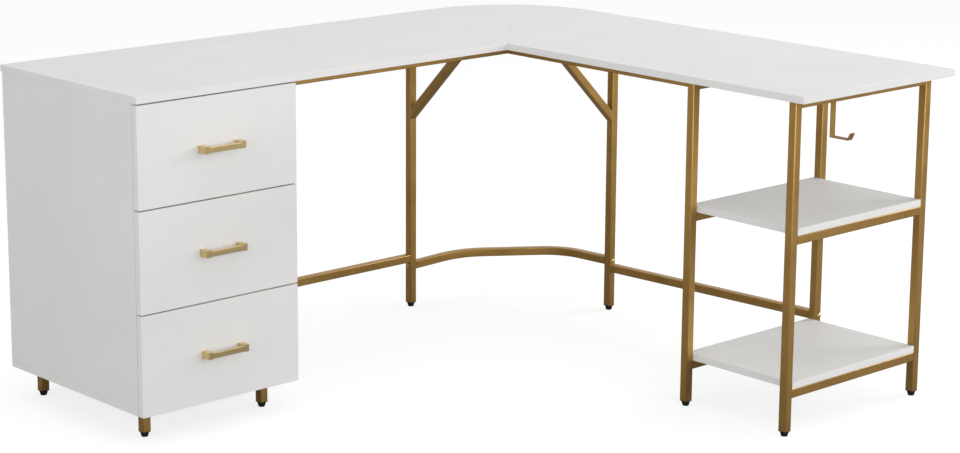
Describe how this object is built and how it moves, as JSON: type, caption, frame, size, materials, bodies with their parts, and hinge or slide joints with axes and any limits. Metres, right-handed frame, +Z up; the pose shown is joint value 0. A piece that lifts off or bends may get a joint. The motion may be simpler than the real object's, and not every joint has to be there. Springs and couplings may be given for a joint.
{
  "type": "corner desk",
  "caption": "L-shaped corner desk with a drawer pedestal under one wing and open shelves under the other, on a square-tube frame.",
  "frame": {"origin": "on the floor under the centre of the footprint's bounding box", "axes": "+X along the main wing from the drawer pedestal to the rounded corner, +Y from the sitting side to the wall behind the main wing, +Z up"},
  "size_m": [1.575, 1.422, 0.762],
  "materials": {
    "white_laminate": "smooth matt white laminate on particle board",
    "white_hardboard": "thin white faced hardboard",
    "gold_paint": "satin antique gold powder coat",
    "gold_bolt": "gold plated bolt head",
    "gold_handle": "brushed light gold",
    "black_plastic": "moulded black plastic",
    "zinc_steel": "zinc plated"
  },
  "bodies": {
    "desk": {"worktop_main": "white_laminate", "worktop_return": "white_laminate", "shelf_upper": "white_laminate", "shelf_lower": "white_laminate", "pedestal_side_outer": "white_laminate", "pedestal_side_inner": "white_laminate", "pedestal_bottom": "white_laminate", "pedestal_top_rails": "white_laminate", "apron_rail_main": "gold_paint", "apron_rail_return": "gold_paint", "rear_rail_main": "gold_paint", "rear_rail_return": "gold_paint", "cross_rail_main": "gold_paint", "cross_rail_return": "gold_paint", "corner_leg_main": "gold_paint", "corner_leg_return": "gold_paint", "corner_brace_main": "gold_paint", "corner_brace_return": "gold_paint", "stretcher_main": "gold_paint", "stretcher_corner": "gold_paint", "stretcher_return": "gold_paint", "shelf_unit_legs": "gold_paint", "shelf_rails_end": "gold_paint", "shelf_rails_inner": "gold_paint", "bag_hook": "gold_paint", "pedestal_legs": "gold_paint", "pedestal_back": "white_hardboard", "seam_plates": "zinc_steel", "drawer_runners_fixed": "zinc_steel", "nut_inserts": "zinc_steel", "frame_bolts": "gold_bolt", "leg_plugs": "black_plastic"},
    "drawer_lower": {"drawer_lower_front": "white_laminate", "drawer_lower_sides": "white_laminate", "drawer_lower_back": "white_laminate", "drawer_lower_bottom": "white_hardboard", "drawer_lower_handle": "gold_handle", "drawer_lower_runners": "zinc_steel"},
    "drawer_middle": {"drawer_middle_front": "white_laminate", "drawer_middle_sides": "white_laminate", "drawer_middle_back": "white_laminate", "drawer_middle_bottom": "white_hardboard", "drawer_middle_handle": "gold_handle", "drawer_middle_runners": "zinc_steel"},
    "drawer_top": {"drawer_top_front": "white_laminate", "drawer_top_sides": "white_laminate", "drawer_top_back": "white_laminate", "drawer_top_bottom": "white_hardboard", "drawer_top_handle": "gold_handle", "drawer_top_runners": "zinc_steel"},
    "foot_corner_main": {"foot_corner_main": "black_plastic"},
    "foot_corner_return": {"foot_corner_return": "black_plastic"},
    "foot_shelf_knee_end": {"foot_shelf_knee_end": "black_plastic"},
    "foot_shelf_knee_inner": {"foot_shelf_knee_inner": "black_plastic"},
    "foot_shelf_wall_end": {"foot_shelf_wall_end": "black_plastic"},
    "foot_shelf_wall_inner": {"foot_shelf_wall_inner": "black_plastic"},
    "foot_pedestal_outer_front": {"foot_pedestal_outer_front": "black_plastic"},
    "foot_pedestal_outer_rear": {"foot_pedestal_outer_rear": "black_plastic"},
    "foot_pedestal_inner_front": {"foot_pedestal_inner_front": "black_plastic"},
    "foot_pedestal_inner_rear": {"foot_pedestal_inner_rear": "black_plastic"}
  },
  "joints": [
    {"name": "drawer_lower_slide", "type": "slide", "parent": "desk", "child": "drawer_lower", "axis": [0, -1, 0], "range_m": [0, 0.3]},
    {"name": "drawer_middle_slide", "type": "slide", "parent": "desk", "child": "drawer_middle", "axis": [0, -1, 0], "range_m": [0, 0.3]},
    {"name": "drawer_top_slide", "type": "slide", "parent": "desk", "child": "drawer_top", "axis": [0, -1, 0], "range_m": [0, 0.3]},
    {"name": "foot_corner_main_turn", "type": "hinge", "parent": "desk", "child": "foot_corner_main", "pos_m": [0.3915, 0.677, 0.005], "axis": [0, 0, 1], "continuous": true},
    {"name": "foot_corner_return_turn", "type": "hinge", "parent": "desk", "child": "foot_corner_return", "pos_m": [0.7535, 0.315, 0.005], "axis": [0, 0, 1], "continuous": true},
    {"name": "foot_shelf_knee_end_turn", "type": "hinge", "parent": "desk", "child": "foot_shelf_knee_end", "pos_m": [0.3045, -0.6585, 0.005], "axis": [0, 0, 1], "continuous": true},
    {"name": "foot_shelf_knee_inner_turn", "type": "hinge", "parent": "desk", "child": "foot_shelf_knee_inner", "pos_m": [0.3045, -0.3675, 0.005], "axis": [0, 0, 1], "continuous": true},
    {"name": "foot_shelf_wall_end_turn", "type": "hinge", "parent": "desk", "child": "foot_shelf_wall_end", "pos_m": [0.7505, -0.6585, 0.005], "axis": [0, 0, 1], "continuous": true},
    {"name": "foot_shelf_wall_inner_turn", "type": "hinge", "parent": "desk", "child": "foot_shelf_wall_inner", "pos_m": [0.7505, -0.3675, 0.005], "axis": [0, 0, 1], "continuous": true},
    {"name": "foot_pedestal_outer_front_turn", "type": "hinge", "parent": "desk", "child": "foot_pedestal_outer_front", "pos_m": [-0.7365, 0.261, 0.005], "axis": [0, 0, 1], "continuous": true},
    {"name": "foot_pedestal_outer_rear_turn", "type": "hinge", "parent": "desk", "child": "foot_pedestal_outer_rear", "pos_m": [-0.7365, 0.658, 0.005], "axis": [0, 0, 1], "continuous": true},
    {"name": "foot_pedestal_inner_front_turn", "type": "hinge", "parent": "desk", "child": "foot_pedestal_inner_front", "pos_m": [-0.4175, 0.261, 0.005], "axis": [0, 0, 1], "continuous": true},
    {"name": "foot_pedestal_inner_rear_turn", "type": "hinge", "parent": "desk", "child": "foot_pedestal_inner_rear", "pos_m": [-0.4175, 0.658, 0.005], "axis": [0, 0, 1], "continuous": true}
  ]
}
